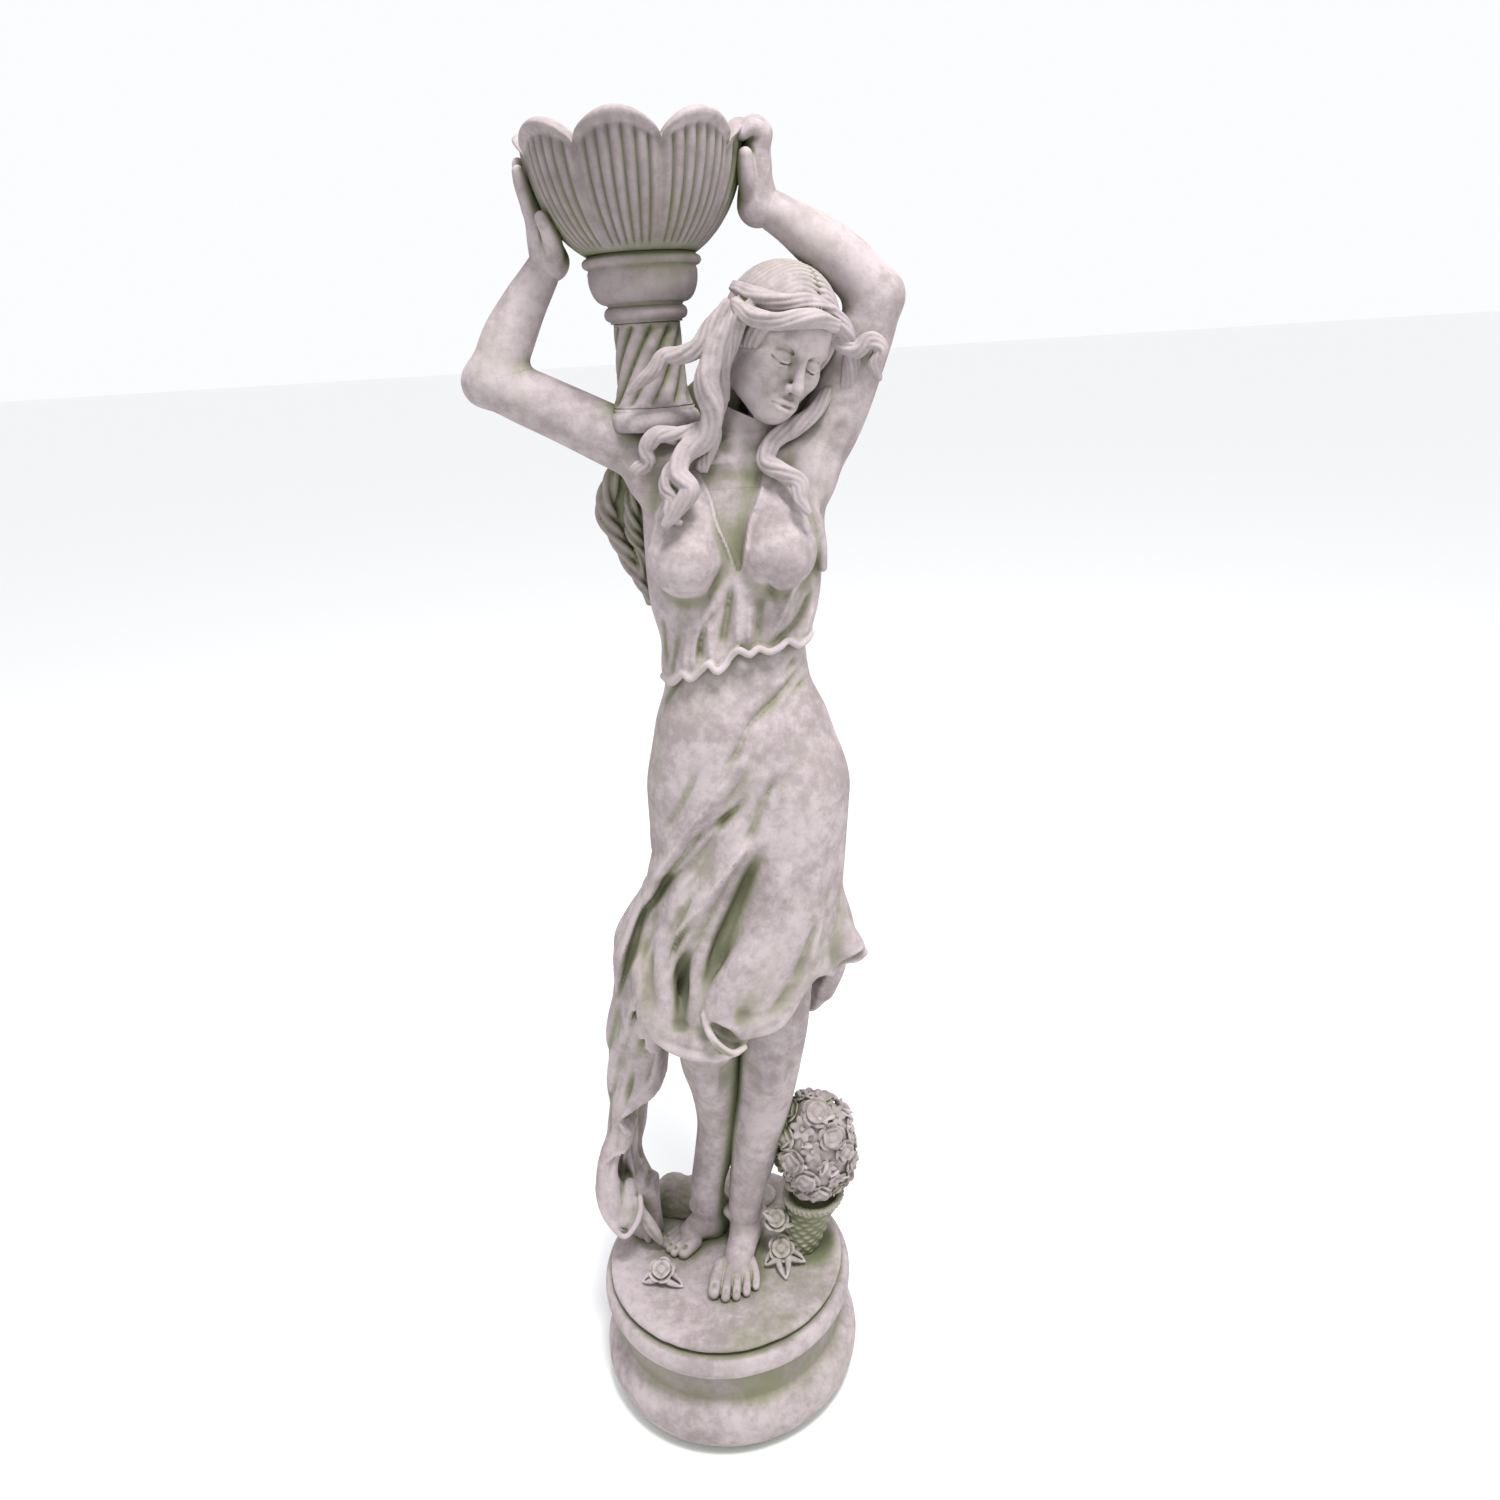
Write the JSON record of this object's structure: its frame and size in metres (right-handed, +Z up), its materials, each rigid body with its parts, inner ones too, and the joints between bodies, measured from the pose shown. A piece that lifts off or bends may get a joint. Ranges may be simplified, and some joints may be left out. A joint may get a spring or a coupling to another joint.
{
  "type": "garden font statue",
  "caption": "Cast-stone garden font: a draped figure stands on a round stepped plinth and holds a scalloped, reeded bowl on a fluted column at her shoulder.",
  "frame": {"origin": "centre of the plinth's round underside, on the ground", "axes": "+Z up, the figure faces -Y, her right arm is at -X"},
  "size_m": [0.4307, 0.3438, 1.5137],
  "materials": {
    "weathered_stone": "rough, weathered",
    "mossy_stone": "rough, algae-stained",
    "lime_mortar": "sandy",
    "galvanised_steel": "dull zinc"
  },
  "bodies": {
    "root": {"plinth": "weathered_stone", "mortar_bed": "lime_mortar", "base_plate": "weathered_stone", "left_leg": "weathered_stone", "right_leg": "weathered_stone", "left_leg_rod": "galvanised_steel", "right_leg_rod": "galvanised_steel", "skirt": "weathered_stone", "skirt_train": "weathered_stone", "bodice": "weathered_stone", "shoulders": "weathered_stone", "spine_rod": "galvanised_steel", "right_arm_pin": "galvanised_steel", "left_arm_pin": "galvanised_steel", "head": "weathered_stone", "hair_cap": "weathered_stone", "right_locks": "weathered_stone", "left_lock": "weathered_stone", "outer_curl": "weathered_stone", "back_hair": "mossy_stone", "right_upper_arm": "weathered_stone", "left_upper_arm": "weathered_stone", "right_forearm": "weathered_stone", "left_forearm": "weathered_stone", "right_hand": "weathered_stone", "left_hand": "weathered_stone", "column_foot": "weathered_stone", "column_shaft": "weathered_stone", "column_capital": "weathered_stone", "bowl": "weathered_stone", "column_rod": "galvanised_steel", "basket": "mossy_stone", "bouquet": "weathered_stone", "rose_lower": "mossy_stone", "rose_upper": "mossy_stone", "rose_loose": "weathered_stone", "ground_mound": "mossy_stone"}
  },
  "joints": []
}
